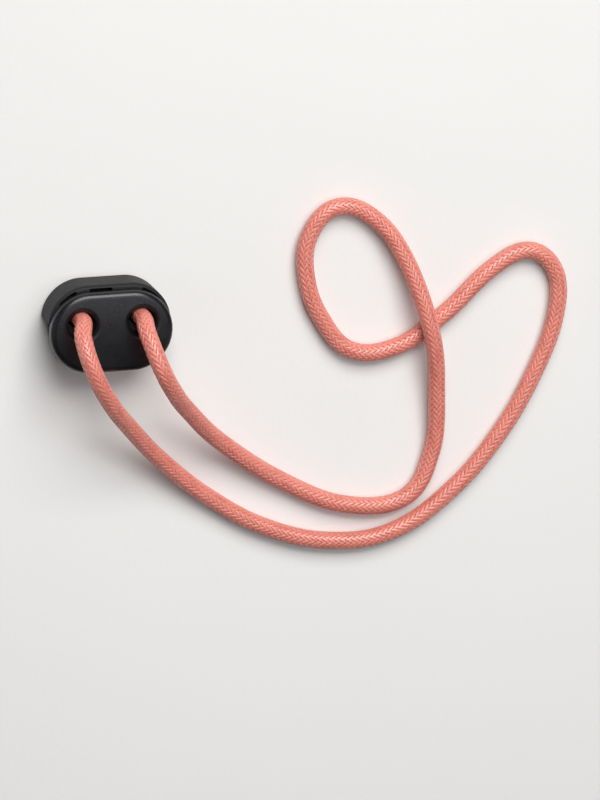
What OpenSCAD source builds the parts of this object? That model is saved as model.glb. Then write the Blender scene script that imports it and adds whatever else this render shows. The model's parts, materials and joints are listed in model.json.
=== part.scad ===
// Spring cord lock for two strands of one elastic cord.
// The lock lies on its back. Its front face looks along +Z and its button is pressed along -Y.
// The origin is the middle of the back face, under the middle of the front plate. Millimetres.

/* [Front plate] */
// Width of the front plate across its round ends
plate_w = 22; // [20:0.5:24]
// Height of the front plate, which is also the diameter of its round ends
plate_h = 14.5; // [14:0.5:16]
// Thickness of the front plate at its middle
plate_t = 2.3; // [2.1:0.1:2.6]
// How much thinner the plate is at its rim, where its front face is slightly domed
crown = 0.35; // [0.1:0.05:0.5]
// Radius round the front edge of the plate
plate_round = 1.1; // [0.6:0.1:1.2]

/* [Cord] */
// Diameter of the elastic cord
cord_d = 3.2; // [3:0.1:3.4]
// Clearance between the cord and the holes that hold it
cord_gap = 0.05; // [0.05:0.01:0.1]

/* [Cord holes] */
// Diameter of the two cord holes
hole_d = 4.8; // [4.6:0.1:5]
// Distance between the centres of the two holes
hole_pitch = 10.8; // [10.4:0.1:11]
// Height of the holes above the middle of the plate
hole_y = 1.6; // [1.2:0.1:1.8]
// Radius round the lip of each hole
lip = 0.9; // [0.5:0.1:1]

/* [Button] */
// How far the button stands above the plate at rest
proud = 1.0; // [0.6:0.1:1.2]
// Wall thickness of the button's hood
hood_wall = 1.1; // [1:0.05:1.2]
// Lowest edge of the hood's two legs at rest
leg_y = 1.8; // [1.8:0.1:2.2]
// Width of the pocket in the hood's front edge
pocket_w = 4; // [3:0.1:5]

/* [Housing] */
// Depth of the whole lock from back face to front face
lock_depth = 9.2; // [9:0.1:9.6]
// Sliding clearance between the button and the housing
slide_gap = 0.1; // [0.1:0.01:0.15]

/* [Spring] */
// Wire diameter of the spring
wire_d = 0.45; // [0.4:0.05:0.5]
// Outer diameter of the spring
spring_d = 3.4; // [3.2:0.1:3.5]
// Number of turns of the spring
spring_turns = 9; // [8:1:10]

/* [Hidden] */
$fn = 96;
eps = 0.01;

// How far a cutting shape reaches past the solid that it cuts
over = 1;

// Plate and hood outline: two round ends joined by a straight stretch
end_r = plate_h / 2;
end_x = plate_w / 2 - end_r;
plate_z = lock_depth - plate_t;
back_round = 0.15;
dome_steps = 720;
// The domed face is a little lower at the holes than at the middle
lip_drop = 0.1;

// The button travels until its holes line up with the housing's holes
travel = hole_d - cord_d - 2 * cord_gap;
hole_x = hole_pitch / 2;
cord_y = hole_y + hole_d / 2 - cord_d / 2 - cord_gap;

// Hood: an arch behind the plate with a back wall
front_gap = 0.15;
hood_front = plate_z - front_gap;
hood_r = end_r - hood_wall;
hood_edge = 0.15;
hood_rear_edge = 0.7;
hood_crown = 0.05;
back_wall = 1.1;
// Forks in the back wall, which pass on both sides of each strand of cord
fork_gap = 0.3;
fork_spare = 0.2;
fork_w = cord_d + 2 * fork_gap;
fork_y = cord_y + cord_d / 2 + travel + fork_spare - fork_w / 2;
// Guide rib of the housing, and its slot in the back wall
rib_w = 3;
rib_y = 5;
rib_gap = 0.15;
// Pocket in the hood's front edge, with a thin rim above it
pocket_x = -1.5;
pocket_h = 1.2;
pocket_deep = 2;
pocket_rim = 0.65;
// Curved slots in the front edge at both shoulders, with the same kind of rim
slot_rim = 0.6;
slot_wide = 1.05;
slot_deep = 1.5;
slot_start = 110;
slot_turn = 32;

// Housing: a narrower box behind the plate, open at the top
shell_gap = 0.15;
shell_r = hood_r - shell_gap;
shell_y = proud - travel;
wall_z = back_wall + slide_gap;
back_floor = 1.1;
room_z = wall_z + back_floor;
room_x = 8.6;
room_y = -2.3;
room_round = 1.8;
side_y = 1.6;
step_gap = 0.15;
step_y = leg_y - travel - step_gap;
foot_y = -5.2;

// Plunger: the block under the hood that carries the button's own holes
plunger_spare = 0.2;
plunger_x = room_x - slide_gap;
plunger_y = room_y + travel + plunger_spare;
plunger_back = room_z + slide_gap;
plunger_front = plate_z - slide_gap;
plunger_round = 1.6;
barb = 0.55;
barb_h = 1;
barb_z = 2.2;
barb_root = 0.5;
barb_low = 0.4;
window_gap = 0.2;
window_top = 0.03;
window_w = 3;
well_gap = 0.2;
well_d = spring_d + 2 * well_gap;
well_z = (plunger_back + plunger_front) / 2;
well_top = 5.4;

// Spring: a helix with closed end turns, squeezed between the foot and the plunger
coil_r = (spring_d - wire_d) / 2;
coil_gap = 0.02;
spring_low = foot_y + wire_d / 2 + coil_gap;
spring_high = well_top - wire_d / 2 - coil_gap;
// How nearly the end turns close up, from 0 to 1
end_closing = 0.9;
coil_steps = 14;
coil_tiny = 0.0005;
wire_sides = 8;

// Cord route after it leaves the left hole, until it enters the right hole
exit_l = [-hole_x, cord_y, lock_depth];
exit_r = [hole_x, cord_y, lock_depth];
floor_z = cord_d / 2;
route = [
    exit_l,
    [-6.4, 0.4, 14],
    [-5.2, -4.8, 16.2],
    [-2, -11, 14.2],
    [2.5, -17, 9.5],
    [9.5, -25, 4.5],
    [18.5, -33, 2],
    [29, -39.5, floor_z],
    [41, -43, floor_z],
    [53, -42, floor_z],
    [64, -35, floor_z],
    [73, -25, floor_z],
    [79.5, -14, floor_z],
    [83.2, -4, floor_z],
    [83, 4, floor_z],
    [78, 8, floor_z],
    [71, 5, floor_z],
    [62.5, -2.5, floor_z],
    [53.5, -8, floor_z],
    [45, -8, floor_z],
    [39.5, -1.5, floor_z],
    [37, 6, floor_z],
    [37.5, 13, floor_z],
    [42, 18, floor_z],
    [48.5, 16.5, 1.7],
    [54.5, 9, 3],
    [59, -4.5, 5],
    [60.6, -16.5, 3],
    [60, -28, 1.7],
    [55, -36, floor_z],
    [44, -36.5, floor_z],
    [32, -31, 1.8],
    [20.5, -22.5, 4.5],
    [13.4, -15, 9.7],
    [9.6, -10, 14.4],
    [6.9, -5, 16.4],
    [5.2, 0.4, 14],
    exit_r
];
cord_sides = 8;
rings_per_span = 2;
lead = 6.2;
// Share of the chord between a point's neighbours that its slope takes
fullness = 0.56;

// The stadium outline of the given end radius
module stadium(r) {
    square([2 * end_x, 2 * r], center = true);
    for (side = [-1, 1])
        translate([side * end_x, 0]) circle(r);
}

// Half section of a slab: half width r, thickness t, with rounded edges and a domed front
module slab_section(r, t, front, rear, dome) {
    dome_r = (r * r + dome * dome) / (2 * dome);
    front_y = t - dome_r + sqrt(pow(dome_r - front, 2) - pow(r - front, 2));
    meet = (r - front) * dome_r / (dome_r - front);
    intersection() {
        translate([0, t - dome_r]) circle(dome_r, $fn = dome_steps);
        square([meet, t]);
    }
    translate([r - front, front_y])
        intersection() {
            circle(front);
            square([front, front]);
        }
    translate([0, rear]) square([r, front_y - rear]);
    square([r - rear, front_y]);
    translate([r - rear, rear]) circle(rear);
}

// A slab of stadium outline with rounded edges
module slab(r, t, front, rear, dome) {
    for (side = [-1, 1])
        translate([side * end_x, 0, 0])
            rotate_extrude() slab_section(r, t, front, rear, dome);
    for (turn = [0, 180])
        rotate([0, 0, turn])
            translate([-end_x, 0, 0])
                rotate([90, 0, 90])
                    linear_extrude(2 * end_x) slab_section(r, t, front, rear, dome);
}

// The room that is left when the lip of a hole is rounded
module lip_cut(r, edge) {
    rotate_extrude()
        difference() {
            translate([r - eps, -edge]) square([edge + eps, edge + over]);
            translate([r + edge, -edge]) circle(edge);
            translate([r + edge, -edge]) square([edge, edge + 2 * over]);
        }
}

// A block in X and Y with round lower corners
module room_outline(half_w, low, high, corner) {
    translate([-half_w, low + corner]) square([2 * half_w, high - low - corner]);
    translate([-half_w + corner, low]) square([2 * (half_w - corner), high - low]);
    for (side = [-1, 1])
        translate([side * (half_w - corner), low + corner]) circle(corner);
}

module housing_walls() {
    difference() {
        translate([0, shell_y, 0])
            linear_extrude(plate_z + eps) stadium(shell_r);
        // The hood's back wall slides here, on both sides of the guide rib
        for (side = [0, 1])
            mirror([side, 0, 0])
                translate([rib_w / 2, step_y, -over]) cube([plate_w, plate_h, wall_z + over]);
        translate([-rib_w, rib_y, -over]) cube([2 * rib_w, plate_h, wall_z + over]);
        // Room for the plunger, open at the top
        translate([0, 0, room_z])
            linear_extrude(plate_z - room_z) room_outline(room_x, room_y, plate_h, room_round);
        translate([-plate_w, side_y, room_z]) cube([2 * plate_w, plate_h, plate_z - room_z]);
        // Well for the lower half of the spring
        translate([0, room_y + over, well_z])
            rotate([90, 0, 0]) cylinder(h = room_y + over - foot_y, d = well_d);
        // Windows that catch the plunger's barbs
        for (side = [-1, 1])
            translate([side * room_x, 0, well_z])
                barb_window();
    }
}

module barb_window() {
    low = plunger_y - travel - window_gap;
    high = plunger_y + barb_h + window_top;
    translate([-window_w / 2, low, -barb_z / 2 - window_gap])
        cube([window_w, high - low, barb_z + 2 * window_gap]);
}

module housing() {
    color("#1d1d20")
        difference() {
            union() {
                housing_walls();
                translate([0, 0, plate_z]) slab(end_r, plate_t, plate_round, back_round, crown);
            }
            for (side = [-1, 1])
                translate([side * hole_x, hole_y, 0]) {
                    translate([0, 0, -over]) cylinder(h = lock_depth + 2 * over, d = hole_d);
                    translate([0, 0, lock_depth - lip_drop]) lip_cut(hole_d / 2, lip);
                }
        }
}

module hood() {
    cut_z = back_wall + 2 * over;
    difference() {
        translate([0, proud, 0]) slab(end_r, hood_front, hood_edge, hood_rear_edge, hood_crown);
        translate([0, proud, back_wall]) linear_extrude(lock_depth) stadium(hood_r);
        translate([-plate_w, leg_y - plate_h, -over]) cube([2 * plate_w, plate_h, lock_depth + over]);
        // Slot for the guide rib
        translate([-rib_w / 2 - rib_gap, 0, -over])
            cube([rib_w + 2 * rib_gap, rib_y + travel + rib_gap, cut_z]);
        // Forks
        for (side = [-1, 1])
            translate([side * hole_x, fork_y, -over]) {
                cylinder(h = cut_z, d = fork_w);
                translate([-fork_w / 2, -plate_h, 0]) cube([fork_w, plate_h, cut_z]);
            }
    }
}

module plunger() {
    difference() {
        intersection() {
            translate([0, 0, plunger_back])
                linear_extrude(plunger_front - plunger_back)
                    room_outline(plunger_x, plunger_y, plate_h, plunger_round);
            translate([0, proud, 0]) linear_extrude(lock_depth) stadium(end_r - hood_wall / 2);
        }
        translate([0, plunger_y - over, well_z])
            rotate([-90, 0, 0]) cylinder(h = well_top - plunger_y + over, d = well_d);
    }
    for (side = [0, 1])
        mirror([side, 0, 0])
            translate([plunger_x - barb_root, plunger_y, well_z - barb_z / 2])
                linear_extrude(barb_z)
                    polygon([[0, barb_low], [barb_root, barb_low], [barb_root + barb, barb_h],
                             [0, barb_h]]);
}

// The pocket and the two curved slots in the button's front edge
module front_recesses() {
    translate([pocket_x - pocket_w / 2, end_r + proud - pocket_rim - pocket_h,
               hood_front - pocket_deep])
        cube([pocket_w, pocket_h, pocket_deep + over]);
    for (side = [0, 1])
        mirror([side, 0, 0])
            translate([-end_x, proud, hood_front - slot_deep])
                rotate([0, 0, slot_start])
                    rotate_extrude(angle = slot_turn)
                        translate([end_r - slot_rim - slot_wide, 0])
                            square([slot_wide, slot_deep + over]);
}

module button() {
    color("#242427")
        difference() {
            union() {
                hood();
                plunger();
            }
            for (side = [-1, 1])
                translate([side * hole_x, hole_y + travel, back_wall + eps])
                    cylinder(h = lock_depth, d = hole_d);
            front_recesses();
        }
}

// A tube swept along points, with its rings turned as little as possible between them
function unit(v) = v / norm(v);
function across(v, t) = unit(v - (v * t) * t);
function tube_points(pts, tans, r, sides, first) =
    let (sides_x = [for (i = 0, n = across(first, tans[0]); i < len(pts);
                         i = i + 1, n = across(n, tans[min(i, len(pts) - 1)])) n])
    [for (i = [0:len(pts) - 1], k = [0:sides - 1])
        let (a = 360 * k / sides, n = sides_x[i], b = cross(tans[i], n))
        pts[i] + r * cos(a) * n + r * sin(a) * b];
function tube_faces(rings, sides) = concat(
    [[for (k = [0:sides - 1]) k]],
    [for (i = [0:rings - 2], k = [0:sides - 1])
        let (j = (k + 1) % sides)
        each [[i * sides + k, (i + 1) * sides + k, (i + 1) * sides + j],
              [i * sides + k, (i + 1) * sides + j, i * sides + j]]],
    [[for (k = [sides - 1:-1:0]) (rings - 1) * sides + k]]
);
module tube(pts, tans, r, sides, first) {
    polyhedron(tube_points(pts, tans, r, sides, first), tube_faces(len(pts), sides));
}

// The spring's centre line: close-wound at both ends and open in the middle
function coil_rise(u) = u - end_closing * sin(360 * u) / (2 * PI);
function coil_point(u) =
    let (a = 360 * spring_turns * u)
    [coil_r * cos(a), spring_low + (spring_high - spring_low) * coil_rise(u), well_z + coil_r * sin(a)];
function coil_tangent(u) = unit(coil_point(u + coil_tiny) - coil_point(u - coil_tiny));
module spring() {
    count = spring_turns * coil_steps;
    us = [for (i = [0:count]) i / count];
    color("silver")
        tube([for (u = us) coil_point(u)], [for (u = us) coil_tangent(u)],
             wire_d / 2, wire_sides, [1, 0, 0]);
}

// The cord's centre line: a smooth curve through the route, straight inside the lock
function slope(i) =
    i == 0 ? [0, 0, lead]
    : i == len(route) - 1 ? [0, 0, -lead]
    : fullness * (route[i + 1] - route[i - 1]);
function span_point(i, t) =
    laid((2 * t * t * t - 3 * t * t + 1) * route[i] + (t * t * t - 2 * t * t + t) * slope(i)
         + (3 * t * t - 2 * t * t * t) * route[i + 1] + (t * t * t - t * t) * slope(i + 1));
function laid(p) = [p.x, p.y, max(p.z, floor_z)];
function span_slope(i, t) =
    6 * (t * t - t) * (route[i] - route[i + 1]) + (3 * t * t - 4 * t + 1) * slope(i)
    + (3 * t * t - 2 * t) * slope(i + 1);
module elastic_cord() {
    spans = [for (i = [0:len(route) - 2], k = [0:rings_per_span - 1]) [i, k / rings_per_span]];
    middle = [for (s = spans) span_point(s[0], s[1])];
    turns = [for (s = spans) unit(span_slope(s[0], s[1]))];
    color("#e8917f")
        tube(concat([[-hole_x, cord_y, 0]], middle, [exit_r, [hole_x, cord_y, 0]]),
             concat([[0, 0, 1]], turns, [[0, 0, -1], [0, 0, -1]]),
             cord_d / 2, cord_sides, [1, 0, 0]);
}

housing();
button();
spring();
elastic_cord();
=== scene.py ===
"""Looks for a spring cord lock that lies on its back, with its elastic cord laid out in a loop."""

import json
import math

import bpy
import numpy as np
from mathutils import Matrix, Vector


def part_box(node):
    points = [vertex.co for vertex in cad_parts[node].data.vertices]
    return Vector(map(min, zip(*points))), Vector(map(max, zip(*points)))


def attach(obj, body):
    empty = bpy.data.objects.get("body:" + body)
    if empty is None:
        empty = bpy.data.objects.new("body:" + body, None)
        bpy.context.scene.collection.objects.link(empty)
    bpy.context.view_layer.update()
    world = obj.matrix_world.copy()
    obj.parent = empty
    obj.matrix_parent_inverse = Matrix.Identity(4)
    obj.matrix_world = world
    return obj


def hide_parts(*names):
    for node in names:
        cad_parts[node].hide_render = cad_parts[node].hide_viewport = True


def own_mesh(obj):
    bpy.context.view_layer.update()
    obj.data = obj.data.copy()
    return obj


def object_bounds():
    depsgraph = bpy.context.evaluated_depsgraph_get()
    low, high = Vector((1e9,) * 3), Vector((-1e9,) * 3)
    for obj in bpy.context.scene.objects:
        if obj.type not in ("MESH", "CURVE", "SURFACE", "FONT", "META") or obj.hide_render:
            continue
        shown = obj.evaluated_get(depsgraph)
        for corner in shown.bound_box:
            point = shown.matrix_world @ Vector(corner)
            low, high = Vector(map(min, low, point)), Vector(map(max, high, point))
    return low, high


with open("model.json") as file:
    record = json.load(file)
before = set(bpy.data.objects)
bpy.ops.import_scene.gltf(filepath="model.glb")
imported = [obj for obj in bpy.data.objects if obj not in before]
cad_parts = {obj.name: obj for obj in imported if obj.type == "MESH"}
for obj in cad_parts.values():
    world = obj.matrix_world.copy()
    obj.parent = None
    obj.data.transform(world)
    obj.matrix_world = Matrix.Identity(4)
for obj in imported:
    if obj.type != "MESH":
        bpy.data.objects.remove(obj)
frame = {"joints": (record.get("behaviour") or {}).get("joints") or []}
cad_low, cad_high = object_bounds()

# Everything below is worked out in millimetres in the row frame and stored in metres.
MM = 0.001

# ---------------------------------------------------------------- sizes taken from the frame
HOUSING_LOW, HOUSING_HIGH = (np.array(c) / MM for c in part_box("housing"))
BUTTON_LOW, BUTTON_HIGH = (np.array(c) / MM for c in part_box("button"))
SPRING_LOW, SPRING_HIGH = (np.array(c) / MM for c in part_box("spring"))
TRAVEL = frame["joints"][0]["range_m"][1] / MM

PLATE_W = HOUSING_HIGH[0] - HOUSING_LOW[0]
PLATE_H = HOUSING_HIGH[1] - HOUSING_LOW[1]
LOCK_DEPTH = HOUSING_HIGH[2]
END_R = PLATE_H / 2
END_X = PLATE_W / 2 - END_R
PROUD = BUTTON_HIGH[1] - END_R
TOP = BUTTON_HIGH[1]

# ---------------------------------------------------------------- sizes that part.scad holds
# Front plate and its holes
PLATE_T = 2.3
PLATE_Z = LOCK_DEPTH - PLATE_T
PLATE_ROUND = 1.1
BACK_ROUND = 0.15
CROWN = 0.35
HOLE_D = 4.8
HOLE_X = 5.4
HOLE_Y = 1.6
LIP = 0.9
# Cord
CORD_D = 3.2
CORD_Y = 2.35
FLOOR = CORD_D / 2
# Clearance of sliding faces, and the wider one round the housing's walls and rib
SLIDE = 0.1
GAP = 0.15
# Hood
HOOD_WALL = 1.1
HOOD_FRONT = PLATE_Z - GAP
HOOD_R = END_R - HOOD_WALL
HOOD_REAR_EDGE = 0.7
LEG_Y = 1.8
BACK_WALL = 1.1
FORK_R = CORD_D / 2 + 0.3
FORK_Y = CORD_Y + CORD_D / 2 + TRAVEL + 0.2 - FORK_R
# Pocket in the hood's front edge, off centre, and the curved slots at both shoulders
POCKET_X = -1.5
POCKET_W = 4
POCKET_H = 1.2
POCKET_DEEP = 2
POCKET_RIM = 0.65
SLOT_START = 110
SLOT_TURN = 32
SLOT_OUTER = END_R - 0.6
SLOT_WIDE = 1.05
SLOT_DEEP = 1.5
# Housing behind the plate, with the plunger's room, the guide rib and the steps beside it
SHELL_R = HOOD_R - GAP
SHELL_Y = PROUD - TRAVEL
WALL_Z = BACK_WALL + SLIDE
ROOM_Z = WALL_Z + 1.1
ROOM_X = 8.6
ROOM_Y = -2.3
ROOM_ROUND = 1.8
SIDE_Y = 1.6
STEP_Y = LEG_Y - TRAVEL - GAP
RIB_W = 3.0
RIB_Y = 5.0
# Plunger and its barbs, with the windows that catch them
PLUNGER_X = ROOM_X - SLIDE
PLUNGER_Y = BUTTON_LOW[1]
PLUNGER_BACK = ROOM_Z + SLIDE
PLUNGER_FRONT = PLATE_Z - SLIDE
PLUNGER_ROUND = 1.6
BARB = 0.55
BARB_H = 1
BARB_HALF_Z = 1.1
WINDOW_HALF_X = 1.5
WINDOW_HALF_Z = 1.3
WINDOW_TOP = 0.03
WINDOW_GAP = 0.2
# Well and pocket for the spring
WELL_R = 1.9
WELL_Z = (PLUNGER_BACK + PLUNGER_FRONT) / 2
WELL_TOP = 5.4
FOOT_Y = -5.2
WIRE_D = 0.45
SPRING_TURNS = 9
END_CLOSING = 0.9

# Rounding of the edges of both mouldings, and of the finer ones
EDGE = 0.18
FINE_EDGE = 0.1
# Shapes that are joined or cut overlap by this much. Where nothing is in the way, they reach this
# far past the lock and this far under its back face
OVER = 1
FAR = 30
UNDER = -5
# Spacing of the nets that the two mouldings are drawn from
HOUSING_STEP = 0.11
BUTTON_STEP = 0.1

# ---------------------------------------------------------------- the braid and its line
# Yarns each way round, and the length of one turn
CARRIERS = 12
BRAID_PITCH = 13
# The radius the yarns lie at, their width, and how far they rise and sink where they cross
BRAID_R = 1.44
YARN_W = 0.65
YARN_LIFT = 0.045
# How flat the crossings are: at 1 a yarn follows a plain wave, and above it stays up or down longer
YARN_HOLD = 1.35
# Spacing of the rings of points along a yarn
BRAID_STEP = 0.33

# The cord from the left hole to the right hole, the same points as in part.scad
ROUTE = [
    (-HOLE_X, CORD_Y, LOCK_DEPTH),
    (-6.4, 0.4, 14),
    (-5.2, -4.8, 16.2),
    (-2, -11, 14.2),
    (2.5, -17, 9.5),
    (9.5, -25, 4.5),
    (18.5, -33, 2),
    (29, -39.5, FLOOR),
    (41, -43, FLOOR),
    (53, -42, FLOOR),
    (64, -35, FLOOR),
    (73, -25, FLOOR),
    (79.5, -14, FLOOR),
    (83.2, -4, FLOOR),
    (83, 4, FLOOR),
    (78, 8, FLOOR),
    (71, 5, FLOOR),
    (62.5, -2.5, FLOOR),
    (53.5, -8, FLOOR),
    (45, -8, FLOOR),
    (39.5, -1.5, FLOOR),
    (37, 6, FLOOR),
    (37.5, 13, FLOOR),
    (42, 18, FLOOR),
    (48.5, 16.5, 1.7),
    (54.5, 9, 3),
    (59, -4.5, 5),
    (60.6, -16.5, 3),
    (60, -28, 1.7),
    (55, -36, FLOOR),
    (44, -36.5, FLOOR),
    (32, -31, 1.8),
    (20.5, -22.5, 4.5),
    (13.4, -15, 9.7),
    (9.6, -10, 14.4),
    (6.9, -5, 16.4),
    (5.2, 0.4, 14),
    (HOLE_X, CORD_Y, LOCK_DEPTH),
]
# How strongly the cord points straight out of a hole
LEAD = 6.2
# Share of the line between a point's neighbours that its slope takes
FULLNESS = 0.56


# ---------------------------------------------------------------- camera, lights and floor
def view_axes(pitch, yaw, roll):
    """The picture's right, up and towards-the-viewer directions for a lock seen that way."""
    p, w, r = (math.radians(a) for a in (pitch, yaw, roll))
    back = Vector((-math.sin(w) * math.cos(p), math.sin(p), math.cos(w) * math.cos(p)))
    right = Vector((math.cos(w), 0, math.sin(w)))
    up = back.cross(right)
    return (right * math.cos(r) - up * math.sin(r),
            right * math.sin(r) + up * math.cos(r), back)


def make_camera():
    """Looks at the front face from above and a little from the left, as the lock was seen."""
    right, up, back = view_axes(pitch=14.8, yaw=14.7, roll=0.3)
    view_height, lens, sensor = 140 * MM, 400, 48
    lock_left, lock_above = 32.7 * MM, 11.7 * MM
    data = bpy.data.cameras.new("camera")
    data.lens, data.sensor_fit, data.sensor_height = lens, "VERTICAL", sensor
    data.clip_start, data.clip_end = 0.01, 20
    camera = bpy.data.objects.new("camera", data)
    plate_middle = Vector((0, 0, LOCK_DEPTH * MM))
    # The lock stands this far to the left of the picture's middle and above it
    target = plate_middle + right * lock_left - up * lock_above
    place = target + back * view_height * lens / sensor
    camera.matrix_world = Matrix((
        (right.x, up.x, back.x, place.x),
        (right.y, up.y, back.y, place.y),
        (right.z, up.z, back.z, place.z),
        (0, 0, 0, 1)))
    bpy.context.scene.collection.objects.link(camera)
    bpy.context.scene.camera = camera


def area_light(name, place, target, size, power, colour=(1, 1, 1)):
    """A rectangular light that faces target, in metres and watts."""
    data = bpy.data.lights.new(name, "AREA")
    data.shape, data.size, data.size_y = "RECTANGLE", size[0], size[1]
    data.energy, data.color = power, colour
    light = bpy.data.objects.new(name, data)
    light.location = place
    light.rotation_euler = (Vector(target) - Vector(place)).to_track_quat("-Z", "Y").to_euler()
    bpy.context.scene.collection.objects.link(light)


def make_studio():
    bpy.context.scene.view_settings.view_transform = "Standard"
    middle = ((cad_low[0] + cad_high[0]) / 2, (cad_low[1] + cad_high[1]) / 2, 0)
    warm, cool = (1, 0.985, 0.965), (0.97, 0.985, 1)
    area_light("key", (0.1, 0.72, 0.79), middle, (0.82, 0.6), 12, warm)
    area_light("overhead", (0.14, 0.16, 0.5), (0.14, 0.16, 0), (0.5, 0.4), 0.9, cool)
    area_light("fill", (-0.5, 0.0, 0.35), middle, (0.4, 0.4), 0.2, cool)
    # The upper half of the plate's face mirrors this one, so the face darkens towards its foot
    area_light("strip", (0.13, -0.03, 0.5), (0.13, -0.03, 0), (0.3, 0.05), 0.2, cool)
    area_light("rim", (0.5, -0.25, 0.35), middle, (0.3, 0.3), 0.15)
    world = bpy.data.worlds.new("studio")
    world.use_nodes = True
    sky = world.node_tree.nodes["Background"]
    sky.inputs["Color"].default_value = (0.93, 0.94, 0.95, 1)
    sky.inputs["Strength"].default_value = 0.06
    bpy.context.scene.world = world


# ---------------------------------------------------------------- shader helpers
class Shader:
    """A material under construction: a Principled shader with nodes feeding it."""

    def __init__(self, name, colour, roughness, **sockets):
        self.material = bpy.data.materials.new(name)
        self.material.use_nodes = True
        self.tree = self.material.node_tree
        self.main = self.tree.nodes["Principled BSDF"]
        self.main.inputs["Base Color"].default_value = (*colour, 1)
        self.main.inputs["Roughness"].default_value = roughness
        for socket, value in sockets.items():
            self.main.inputs[socket.replace("_", " ")].default_value = value
        self.place = self.node("ShaderNodeTexCoord").outputs["Object"]

    def node(self, kind, **settings):
        made = self.tree.nodes.new(kind)
        for key, value in settings.items():
            setattr(made, key, value)
        return made

    def link(self, a, b):
        self.tree.links.new(a, b)

    def noise(self, scale, detail=2.0, roughness=0.5, stretch=None):
        noise = self.node("ShaderNodeTexNoise")
        noise.inputs["Scale"].default_value = scale
        noise.inputs["Detail"].default_value = detail
        noise.inputs["Roughness"].default_value = roughness
        place = self.place
        if stretch:
            mapping = self.node("ShaderNodeMapping")
            mapping.inputs["Scale"].default_value = stretch
            self.link(place, mapping.inputs["Vector"])
            place = mapping.outputs["Vector"]
        self.link(place, noise.inputs["Vector"])
        return noise.outputs["Fac"]

    def spread(self, value, low, high, to_low, to_high):
        spread = self.node("ShaderNodeMapRange")
        for socket, number in zip(("From Min", "From Max", "To Min", "To Max"),
                                  (low, high, to_low, to_high)):
            spread.inputs[socket].default_value = number
        self.link(value, spread.inputs["Value"])
        return spread.outputs["Result"]

    def ramp(self, value, stops):
        ramp = self.node("ShaderNodeValToRGB")
        ends = ramp.color_ramp.elements
        ends[0].position, ends[1].position = stops[0][0], stops[-1][0]
        ends[0].color, ends[1].color = (*stops[0][1], 1), (*stops[-1][1], 1)
        for at, colour in stops[1:-1]:
            ends.new(at).color = (*colour, 1)
        self.link(value, ramp.inputs["Fac"])
        return ramp.outputs["Color"]

    def mix(self, factor, a, b, blend="MIX"):
        mix = self.node("ShaderNodeMix", data_type="RGBA", blend_type=blend)
        for socket, value in ((0, factor), (6, a), (7, b)):
            if isinstance(value, bpy.types.NodeSocket):
                self.link(value, mix.inputs[socket])
            else:
                mix.inputs[socket].default_value = value
        return mix.outputs[2]

    def bump(self, *layers):
        """Layers are (height, distance in mm), each laid over the one before."""
        normal = None
        for height, distance in layers:
            bump = self.node("ShaderNodeBump")
            bump.inputs["Strength"].default_value = 1
            bump.inputs["Distance"].default_value = distance * MM
            self.link(height, bump.inputs["Height"])
            if normal:
                self.link(normal, bump.inputs["Normal"])
            normal = bump.outputs["Normal"]
        self.link(normal, self.main.inputs["Normal"])


def plastic(name, base, rough, shine):
    """Black moulded plastic: fine spark-eroded grain, handled a little smoother here and there."""
    s = Shader(name, base, rough, Specular_IOR_Level=shine, IOR=1.48)
    grain, cloud, scuff = s.noise(5200, 3), s.noise(260, 3), s.noise(700, 5, 0.7, (1, 0.25, 1))
    dusty = s.mix(s.spread(cloud, 0.35, 0.7, 0, 1), (*base, 1), (*(c * 1.3 for c in base), 1))
    pale = (*(c * 2.4 for c in base), 1)
    s.link(s.mix(s.spread(scuff, 0.66, 0.8, 0, 0.5), dusty, pale), s.main.inputs["Base Color"])
    s.link(s.spread(cloud, 0.3, 0.75, rough - 0.03, rough + 0.06), s.main.inputs["Roughness"])
    s.bump((grain, 0.01), (s.noise(1500, 2), 0.0025))
    return s.material


def braid_material():
    """Dyed polyester yarn: silky filaments along the cord, each yarn a slightly different tone."""
    s = Shader("salmon_braid", (0.7, 0.215, 0.165), 0.36, Specular_IOR_Level=0.9,
               Sheen_Weight=0.05, Sheen_Roughness=0.4, Sheen_Tint=(1, 0.72, 0.66, 1))
    island = s.node("ShaderNodeNewGeometry").outputs["Random Per Island"]
    tone = s.ramp(island, [(0, (0.65, 0.185, 0.14)), (0.5, (0.695, 0.207, 0.158)),
                           (1, (0.74, 0.232, 0.178))])
    worn = s.spread(s.noise(420, 3), 0.35, 0.7, 0, 0.35)
    s.link(s.mix(worn, tone, (0.77, 0.265, 0.21, 1)), s.main.inputs["Base Color"])
    s.link(s.spread(s.noise(900, 2), 0.3, 0.7, 0.29, 0.4), s.main.inputs["Roughness"])
    s.bump((s.noise(6500, 3, 0.6), 0.01), (s.noise(2200, 2), 0.006))
    return s.material


def rubber_material():
    s = Shader("latex_rubber", (0.62, 0.52, 0.42), 0.55, Subsurface_Weight=0.1)
    s.link(s.ramp(s.noise(700, 3), [(0.3, (0.5, 0.42, 0.33)), (0.7, (0.7, 0.6, 0.5))]),
           s.main.inputs["Base Color"])
    s.bump((s.noise(3000, 3), 0.02))
    return s.material


def steel_material():
    s = Shader("spring_steel", (0.6, 0.6, 0.59), 0.28, Metallic=1.0)
    s.link(s.ramp(s.noise(900, 4), [(0.3, (0.42, 0.42, 0.43)), (0.7, (0.7, 0.69, 0.68))]),
           s.main.inputs["Base Color"])
    s.link(s.spread(s.noise(2500, 3), 0.3, 0.7, 0.2, 0.4), s.main.inputs["Roughness"])
    s.bump((s.noise(4000, 2), 0.006))
    return s.material


def floor_material():
    s = Shader("pale_floor", (0.8, 0.795, 0.785), 0.7)
    s.link(s.mix(s.spread(s.noise(9, 3), 0.3, 0.7, 0, 1), (0.79, 0.785, 0.775, 1),
                 (0.815, 0.81, 0.8, 1)), s.main.inputs["Base Color"])
    s.bump((s.noise(900, 3), 0.03))
    return s.material


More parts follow.
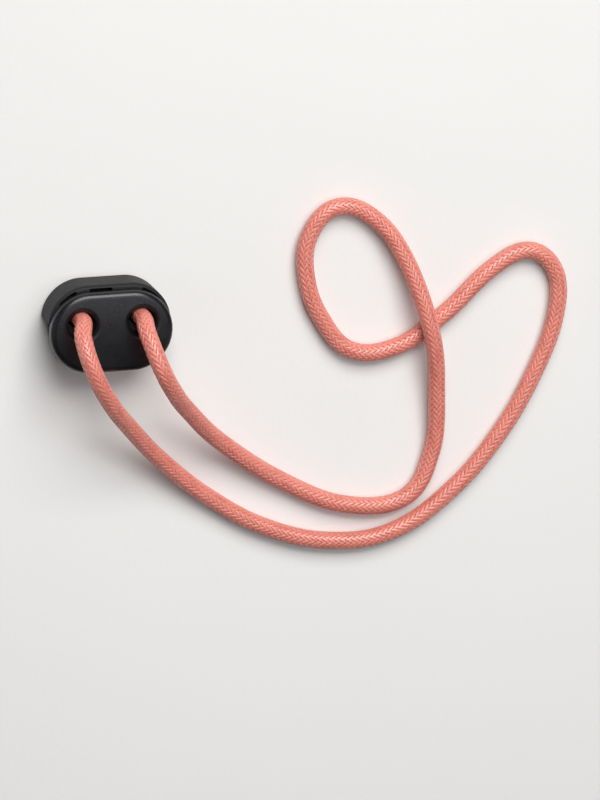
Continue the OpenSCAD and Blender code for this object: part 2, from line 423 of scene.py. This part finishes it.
def make_floor():
    size = 4.0
    mesh = bpy.data.meshes.new("floor")
    just_under = -0.02 * MM
    corners = [(x * size, y * size, just_under) for x, y in ((-1, -1), (1, -1), (1, 1), (-1, 1))]
    mesh.from_pydata(corners, [], [(0, 1, 2, 3)])
    mesh.materials.append(floor_material())
    floor = bpy.data.objects.new("floor", mesh)
    bpy.context.scene.collection.objects.link(floor)


# ---------------------------------------------------------------- mesh helpers
def new_object(name, points, faces, material):
    """An object from points in millimetres, with smooth faces."""
    mesh = bpy.data.meshes.new(name)
    mesh.from_pydata((np.asarray(points) * MM).tolist(), [], [tuple(map(int, f)) for f in faces])
    mesh.polygons.foreach_set("use_smooth", [True] * len(mesh.polygons))
    mesh.materials.append(material)
    mesh.update()
    made = bpy.data.objects.new(name, mesh)
    bpy.context.scene.collection.objects.link(made)
    return made


def round_max(a, b, r):
    """Where two solids overlap, with their shared edge rounded to radius r."""
    both = np.hypot(np.maximum(a + r, 0), np.maximum(b + r, 0))
    return np.minimum(np.maximum(a, b), -r) + both


def round_min(a, b, r):
    """Two solids joined, with a fillet of radius r between them."""
    return -round_max(-a, -b, r)


def cut(a, b, r):
    """The first solid without the second, its new edges rounded to radius r."""
    return round_max(a, -b, r)


def box_field(p, low, high, r=0.0):
    """Distance to a box with edges rounded to radius r."""
    low, high = np.asarray(low, float), np.asarray(high, float)
    away = np.abs(p - (low + high) / 2) - (high - low) / 2 + r
    outside = np.linalg.norm(np.maximum(away, 0), axis=1)
    return outside + np.minimum(away.max(1), 0) - r


def stadium(p, r, y=0.0):
    """Distance to the edge of the plate's outline, drawn with end radius r."""
    along = np.maximum(np.abs(p[:, 0]) - END_X, 0)
    return np.hypot(along, p[:, 1] - y) - r


def span(v, low, high):
    """Distance to the layer between two planes."""
    return np.maximum(low - v, v - high)


def rod(a, b, r):
    """Distance to a round bar, from the two coordinates across it."""
    return np.hypot(a, b) - r


def surface_net(field, low, high, step):
    """Points and four-cornered faces where field is zero, with the points moved onto the surface."""
    axes = [np.arange(low[k], high[k] + step, step) for k in range(3)]
    grid = np.stack(np.meshgrid(*axes, indexing="ij"), -1)
    shape = grid.shape[:3]
    value = field(grid.reshape(-1, 3)).reshape(shape)
    inside = value < 0
    corners = [(i, j, k) for i in (0, 1) for j in (0, 1) for k in (0, 1)]
    filled = sum(inside[i:shape[0] - 1 + i, j:shape[1] - 1 + j, k:shape[2] - 1 + k].astype(int)
                 for i, j, k in corners)
    mixed = (filled > 0) & (filled < 8)
    cells = np.argwhere(mixed)
    number = np.full(mixed.shape, -1)
    number[mixed] = np.arange(len(cells))
    total, hits = np.zeros((len(cells), 3)), np.zeros(len(cells))
    for a in corners:
        for axis in range(3):
            if a[axis]:
                continue
            b = tuple(x + (k == axis) for k, x in enumerate(a))
            va = value[tuple((cells + a).T)]
            vb = value[tuple((cells + b).T)]
            crossed = (va < 0) != (vb < 0)
            share = np.where(crossed, va / np.where(crossed, va - vb, 1), 0)
            place = cells + np.array(a) + share[:, None] * (np.array(b) - np.array(a))
            total += np.where(crossed[:, None], place, 0)
            hits += crossed
    points = np.array(low) + total / hits[:, None] * step
    passes, probe, furthest = 3, step * 0.2, step * 0.4
    for _ in range(passes):
        slope = gradient(field, points, probe)
        reach = field(points)[:, None] * slope / np.maximum((slope ** 2).sum(1), 1e-6)[:, None]
        points -= np.clip(reach, -furthest, furthest)
    faces = []
    for axis in range(3):
        u, v = (axis + 1) % 3, (axis + 2) % 3
        first = [slice(None)] * 3
        last = [slice(None)] * 3
        first[axis], last[axis] = slice(0, -1), slice(1, None)
        edge = np.argwhere(inside[tuple(first)] != inside[tuple(last)])
        edge = edge[(edge[:, u] > 0) & (edge[:, v] > 0)
                    & (edge[:, u] < shape[u] - 1) & (edge[:, v] < shape[v] - 1)]
        starts_inside = inside[tuple(edge.T)]
        ring = []
        for du, dv in ((-1, -1), (0, -1), (0, 0), (-1, 0)):
            cell = edge.copy()
            cell[:, u] += du
            cell[:, v] += dv
            ring.append(number[tuple(cell.T)])
        quads = np.stack(ring, 1)
        quads[~starts_inside] = quads[~starts_inside][:, ::-1]
        faces.append(quads)
    return points, np.concatenate(faces)


def gradient(field, points, h):
    """The field's slope at points, by central differences."""
    return np.stack([(field(points + h * axis) - field(points - h * axis)) / (2 * h)
                     for axis in np.eye(3)], 1)


def moulded(name, field, low, high, step, material):
    """A moulded piece from its field: a fine net, thinned where it is flat, with true normals."""
    margin, keep, slope_step = 3 * step, 0.25, 0.03
    points, faces = surface_net(field, np.array(low) - margin, np.array(high) + margin, step)
    rough = new_object(name, points, faces, material)
    thin = rough.modifiers.new("thin", "DECIMATE")
    thin.ratio = keep
    ready = bpy.data.meshes.new_from_object(
        rough.evaluated_get(bpy.context.evaluated_depsgraph_get()))
    rough.modifiers.clear()
    rough.data = ready
    ready.polygons.foreach_set("use_smooth", [True] * len(ready.polygons))
    at = np.zeros(len(ready.vertices) * 3, np.float32)
    ready.vertices.foreach_get("co", at)
    slope = gradient(field, at.reshape(-1, 3).astype(float) / MM, slope_step)
    slope /= np.maximum(np.linalg.norm(slope, axis=1), 1e-9)[:, None]
    ready.normals_split_custom_set_from_vertices(slope.tolist())
    return rough


# ---------------------------------------------------------------- the housing
def slab_field(p, r, y, low, high, front, rear, dome):
    """A slab of the plate's outline with round edges and a slightly domed front."""
    side = stadium(p, r, y)
    # 0 along the slab's middle and 1 at its outline
    out = np.clip((side + r) / r, 0, 1.2)
    z = p[:, 2] + dome * out ** 2 * np.clip((p[:, 2] - low) / (high - low), 0, 1)
    middle = (low + high) / 2
    edge = np.where(p[:, 2] > middle, front, rear)
    return round_max(side, span(z, low, high), edge)


def room_field(p, half, low, corner):
    """The plunger's room or the plunger itself: round lower corners, and open at the top."""
    away = np.stack([np.abs(p[:, 0]) - half + corner, low + corner - p[:, 1]], 1)
    outside = np.linalg.norm(np.maximum(away, 0), axis=1)
    return outside + np.minimum(away.max(1), 0) - corner


def housing_field(p):
    """The front plate, and the box behind it with the plunger's room and the spring's well."""
    x, y, z = p.T
    shell_edge, fillet, side_fillet, window_edge, lip_from = 0.3, 0.25, 0.05, 0.15, 0.9
    shell = round_max(stadium(p, SHELL_R, SHELL_Y), span(z, 0, LOCK_DEPTH - OVER), shell_edge)
    # The hood's back wall slides over the steps on both sides of the guide rib, and above it
    for side in (-1, 1):
        near, far = sorted((side * RIB_W / 2, side * FAR))
        shell = cut(shell, box_field(p, (near, STEP_Y, UNDER), (far, FAR, WALL_Z)), EDGE)
    rib_reach = 3 * RIB_W
    shell = cut(shell, box_field(p, (-rib_reach, RIB_Y, UNDER), (rib_reach, FAR, WALL_Z)), EDGE)
    # The plunger's room, open at the top and at its upper sides, and the spring's well below it
    room = round_max(room_field(p, ROOM_X, ROOM_Y, ROOM_ROUND), span(z, ROOM_Z, PLATE_Z), EDGE)
    room = round_min(room, box_field(p, (-FAR, SIDE_Y, ROOM_Z), (FAR, FAR, PLATE_Z)), side_fillet)
    well = round_max(rod(x, z - WELL_Z, WELL_R), span(y, FOOT_Y, ROOM_Y + OVER), EDGE)
    room = np.minimum(room, well)
    shell = cut(shell, room, EDGE)
    for side in (-1, 1):
        low = (side * ROOM_X - WINDOW_HALF_X, PLUNGER_Y - TRAVEL - WINDOW_GAP, WELL_Z - WINDOW_HALF_Z)
        high = (side * ROOM_X + WINDOW_HALF_X, PLUNGER_Y + BARB_H + WINDOW_TOP, WELL_Z + WINDOW_HALF_Z)
        shell = cut(shell, box_field(p, low, high, window_edge), FINE_EDGE)
    plate = slab_field(p, END_R, 0, PLATE_Z, LOCK_DEPTH, PLATE_ROUND, BACK_ROUND, CROWN)
    body = round_min(plate, shell, fillet)
    # The room reaches the plate, so the fillet between plate and shell stays out of it
    body = np.maximum(body, -np.maximum(room, z - PLATE_Z))
    for side in (-1, 1):
        hole = rod(x - side * HOLE_X, y - HOLE_Y, HOLE_D / 2)
        # Only the hole's front edge has the wide rounding of the lip
        body = cut(body, hole, np.where(z > PLATE_Z + lip_from, LIP, EDGE))
    return body


# ---------------------------------------------------------------- the button
def hood_field(p):
    """The arch behind the plate, with its back wall, the rib's slot and a fork for each strand."""
    x, y, z = p.T
    dome, inner_edge, leg_edge, slot_edge = 0.03, 0.25, 0.3, 0.3
    hood = slab_field(p, END_R, PROUD, 0, HOOD_FRONT, EDGE, HOOD_REAR_EDGE, dome)
    inner = round_max(stadium(p, HOOD_R, PROUD), span(z, BACK_WALL, FAR), inner_edge)
    hood = cut(hood, inner, EDGE)
    hood = round_max(hood, LEG_Y - y, leg_edge)
    half, slot_top = RIB_W / 2 + GAP, RIB_Y + TRAVEL + GAP
    rib_slot = box_field(p, (-half, -FAR, UNDER), (half, slot_top, BACK_WALL + OVER), slot_edge)
    hood = cut(hood, rib_slot, EDGE)
    for side in (-1, 1):
        across = x - side * HOLE_X
        notch = np.where(y > FORK_Y, rod(across, y - FORK_Y, FORK_R), np.abs(across) - FORK_R)
        hood = cut(hood, np.maximum(notch, z - BACK_WALL - OVER), EDGE)
    return hood


def plunger_field(p):
    """The block under the hood, with the spring's pocket and two barbs that taper downwards."""
    x, y, z = p.T
    top_edge, barb_fillet, barb_foot, barb_start, barb_rise, barb_root = 0.1, 0.08, 0.1, 0.4, 0.6, 1
    block = room_field(p, PLUNGER_X, PLUNGER_Y, PLUNGER_ROUND)
    block = round_max(block, span(z, PLUNGER_BACK, PLUNGER_FRONT), EDGE)
    block = round_max(block, stadium(p, END_R - HOOD_WALL / 2, PROUD), top_edge)
    pocket = round_max(rod(x, z - WELL_Z, WELL_R), span(y, -FAR, WELL_TOP), EDGE)
    block = cut(block, pocket, EDGE)
    rise = BARB * np.clip((y - PLUNGER_Y - barb_start) / barb_rise, 0, 1)
    barb = np.maximum(np.abs(x) - PLUNGER_X - rise, span(y, PLUNGER_Y + barb_foot, PLUNGER_Y + BARB_H))
    barb = np.maximum(barb, span(z, WELL_Z - BARB_HALF_Z, WELL_Z + BARB_HALF_Z))
    return round_min(block, np.maximum(barb, PLUNGER_X - barb_root - np.abs(x)), barb_fillet)


def front_recesses(p):
    """The pocket in the hood's front edge, and the curved slots at both shoulders."""
    x, y, z = p.T
    pocket_edge = 0.15
    pocket = box_field(
        p, (POCKET_X - POCKET_W / 2, TOP - POCKET_RIM - POCKET_H, HOOD_FRONT - POCKET_DEEP),
        (POCKET_X + POCKET_W / 2, TOP - POCKET_RIM, HOOD_FRONT + FAR), pocket_edge)
    across, up = END_X - np.abs(x), y - PROUD
    reach = np.hypot(across, up)
    angle = np.degrees(np.arctan2(up, across))
    past_ends = np.radians(np.abs(angle - SLOT_START - SLOT_TURN / 2) - SLOT_TURN / 2) * reach
    slot = np.maximum(span(reach, SLOT_OUTER - SLOT_WIDE, SLOT_OUTER), past_ends)
    return np.minimum(pocket, np.maximum(slot, HOOD_FRONT - SLOT_DEEP - z))


def button_field(p):
    """Hood and plunger in one, with a hole for each strand, as it stands at rest."""
    x, y, z = p.T
    fillet, hole_edge = 0.2, 0.2
    piece = round_min(hood_field(p), plunger_field(p), fillet)
    for side in (-1, 1):
        hole = rod(x - side * HOLE_X, y - HOLE_Y - TRAVEL, HOLE_D / 2)
        piece = cut(piece, np.maximum(hole, BACK_WALL - z), hole_edge)
    return cut(piece, front_recesses(p), FINE_EDGE)


# ---------------------------------------------------------------- swept pieces
def frames_along(points):
    """Tangents and two crosswise directions along a line, turned as little as possible."""
    tangent = np.gradient(points, axis=0)
    tangent /= np.linalg.norm(tangent, axis=1)[:, None]
    side = np.zeros_like(points)
    last = np.array([1.0, 0, 0])
    for i, t in enumerate(tangent):
        last = last - (last @ t) * t
        last /= np.linalg.norm(last)
        side[i] = last
    return tangent, side, np.cross(tangent, side)


def tube_faces(rings, sides, first=0):
    """Side faces and two end caps of a tube whose points go ring by ring."""
    i, k = np.meshgrid(np.arange(rings - 1), np.arange(sides), indexing="ij")
    a = first + i * sides + k
    b = first + i * sides + (k + 1) % sides
    quads = np.stack([a, b, b + sides, a + sides], -1).reshape(-1, 4).tolist()
    caps = [list(range(first + sides - 1, first - 1, -1)),
            list(range(first + (rings - 1) * sides, first + rings * sides))]
    return quads + caps


def sweep(points, radius, sides):
    """A round tube along points."""
    _, u, v = frames_along(points)
    a = np.linspace(0, 2 * math.pi, sides, endpoint=False)
    radius = np.broadcast_to(radius, len(points))
    ring = np.cos(a)[None, :, None] * u[:, None] + np.sin(a)[None, :, None] * v[:, None]
    tube = points[:, None] + radius[:, None, None] * ring
    return tube.reshape(-1, 3), tube_faces(len(points), sides)


def spring_wire():
    """A coil with close end turns, from the foot of the well to the plunger's pocket."""
    steps_a_turn, sides, end_share, taper_turns = 28, 10, 0.55, 0.25
    u = np.linspace(0, 1, SPRING_TURNS * steps_a_turn + 1)
    rise = u - END_CLOSING * np.sin(2 * math.pi * u) / (2 * math.pi)
    radius = (SPRING_HIGH[0] - SPRING_LOW[0] - WIRE_D) / 2
    low, high = SPRING_LOW[1] + WIRE_D / 2, SPRING_HIGH[1] - WIRE_D / 2
    a = 2 * math.pi * SPRING_TURNS * u
    line = np.stack([radius * np.cos(a), low + (high - low) * rise, WELL_Z + radius * np.sin(a)], 1)
    # Both ends of the wire are drawn down to about half its width
    turns_from_end = np.minimum(u, 1 - u) * SPRING_TURNS
    taper = WIRE_D / 2 * np.clip(turns_from_end / taper_turns + end_share, 0, 1)
    return sweep(line, taper, sides)


def cord_line(step):
    """The cord's centre line, from the back face through the left hole, round and back."""
    parts_of_a_span = 60
    route = np.array(ROUTE, float)
    slope = np.zeros_like(route)
    slope[1:-1] = FULLNESS * (route[2:] - route[:-2])
    slope[0], slope[-1] = (0, 0, LEAD), (0, 0, -LEAD)
    t = np.linspace(0, 1, parts_of_a_span, endpoint=False)[:, None]
    spans = [(2 * t**3 - 3 * t**2 + 1) * a + (t**3 - 2 * t**2 + t) * sa
             + (3 * t**2 - 2 * t**3) * b + (t**3 - t**2) * sb
             for a, b, sa, sb in zip(route[:-1], route[1:], slope[:-1], slope[1:])]
    line = np.concatenate(spans + [route[-1:]])
    line[:, 2] = np.maximum(line[:, 2], FLOOR)
    start, end = route[0] * (1, 1, 0), route[-1] * (1, 1, 0)
    line = np.concatenate([[start], line, [end]])
    along = np.concatenate([[0], np.cumsum(np.linalg.norm(np.diff(line, axis=0), axis=1))])
    at = np.linspace(0, along[-1], int(along[-1] / step) + 1)
    return np.stack([np.interp(at, along, line[:, k]) for k in range(3)], 1), at


def braided_yarns(line, along, way):
    """The yarns that turn one way round the cord, each over two and under two of the others."""
    tangent, u, v = frames_along(line)
    pitch = along[-1] / round(along[-1] / BRAID_PITCH)
    lean = math.atan(2 * math.pi * BRAID_R / pitch)
    # A flat yarn with two ridges along it
    edge, ridge, low, high, dip = YARN_W / 2, 0.19, -0.02, 0.085, 0.055
    section = np.array([(-edge, low), (-ridge, high), (0, dip), (ridge, high), (edge, low), (0, -0.08)])
    crossings = 2 * CARRIERS * along / pitch
    points, faces = [], []
    for carrier in range(CARRIERS):
        angle = 2 * math.pi * (carrier / CARRIERS + way * along / pitch)
        count = crossings + 2 * carrier if way == 1 else 2 * carrier - crossings
        over = way * np.clip(YARN_HOLD * np.cos(math.pi * (count - 0.5) / 2), -1, 1)
        out = np.cos(angle)[:, None] * u + np.sin(angle)[:, None] * v
        run = math.cos(lean) * tangent + way * math.sin(lean) * np.cross(tangent, out)
        wide = np.cross(out, run)
        middle = line + (BRAID_R + YARN_LIFT * over)[:, None] * out
        ring = (middle[:, None] + section[None, :, 0, None] * wide[:, None]
                + section[None, :, 1, None] * out[:, None])
        # A flat yarn bends round the cord, so its edges sit a little lower
        drop = section[:, 0] ** 2 * math.cos(lean) ** 2 / (2 * BRAID_R)
        ring -= drop[None, :, None] * out[:, None]
        faces += tube_faces(len(line), len(section), len(points) * len(line) * len(section))
        points.append(ring.reshape(-1, 3))
    points = np.concatenate(points)
    # Both cut ends are flush with the back face, and nothing sinks into the floor
    points[:, 2] = np.maximum(points[:, 2], 0)
    return points, faces


def cord_core(line, along):
    """The inside of the braid, which stops short of both cut ends to leave room for the rubber."""
    inset, radius, sides, every = 1.2, 1.3, 12, 3
    within = line[(along > inset) & (along < along[-1] - inset)]
    return sweep(within[::every], radius, sides)


def rubber_strands():
    """Seven strands at each cut end, just inside the back face: one in the middle, six round it."""
    strand_r, ring_r, count, length, sides = 0.4, 0.82, 6, 1.3, 10
    ends, shares = (0.06, 0.1, 0.2, length), (0.7, 0.9, 1, 1)
    places = [(0, 0)] + [(ring_r * math.cos(a), ring_r * math.sin(a))
                         for a in (2 * math.pi * k / count for k in range(count))]
    points, faces = [], []
    for side in (-1, 1):
        for dx, dy in places:
            strand = np.array([(side * HOLE_X + dx, CORD_Y + dy, z) for z in ends])
            p, f = sweep(strand, strand_r * np.array(shares), sides)
            faces += [[i + len(points) for i in face] for face in f]
            points += p.tolist()
    return np.array(points), faces


# ---------------------------------------------------------------- the scene
make_camera()

# The cord comes first, because its route is what the model's box depends on
line, along = cord_line(BRAID_STEP)
yarn = braid_material()
braid = new_object("cord_braid_right", *braided_yarns(line, along, 1), yarn)
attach(braid, "housing")
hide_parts("elastic_cord")
left_yarns = new_object("cord_braid_left", *braided_yarns(line, along, -1), yarn)
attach(left_yarns, "housing")
# The core shows through the gaps between the yarns. Its colour is the yarn's salmon made darker, which
# is painted shade in those gaps.
dark = Shader("braid_underside_painted_shade", (0.55, 0.16, 0.12), 0.8)
dark.bump((dark.noise(3000, 2), 0.02))
core = new_object("cord_core", *cord_core(line, along), dark.material)
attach(core, "housing")
strands = new_object("cord_rubber", *rubber_strands(), rubber_material())
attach(strands, "housing")

housing = moulded("housing_moulding", housing_field, HOUSING_LOW, HOUSING_HIGH, HOUSING_STEP,
                  plastic("housing_black", (0.006, 0.006, 0.008), 0.28, 0.5))
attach(housing, "housing")
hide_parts("housing")

button = moulded("button_moulding", button_field, BUTTON_LOW, BUTTON_HIGH, BUTTON_STEP,
                 plastic("button_black", (0.012, 0.012, 0.014), 0.58, 0.3))
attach(button, "button")
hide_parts("button")

spring = new_object("spring_wire", *spring_wire(), steel_material())
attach(spring, "housing")
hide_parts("spring")
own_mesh(spring)

make_studio()
make_floor()
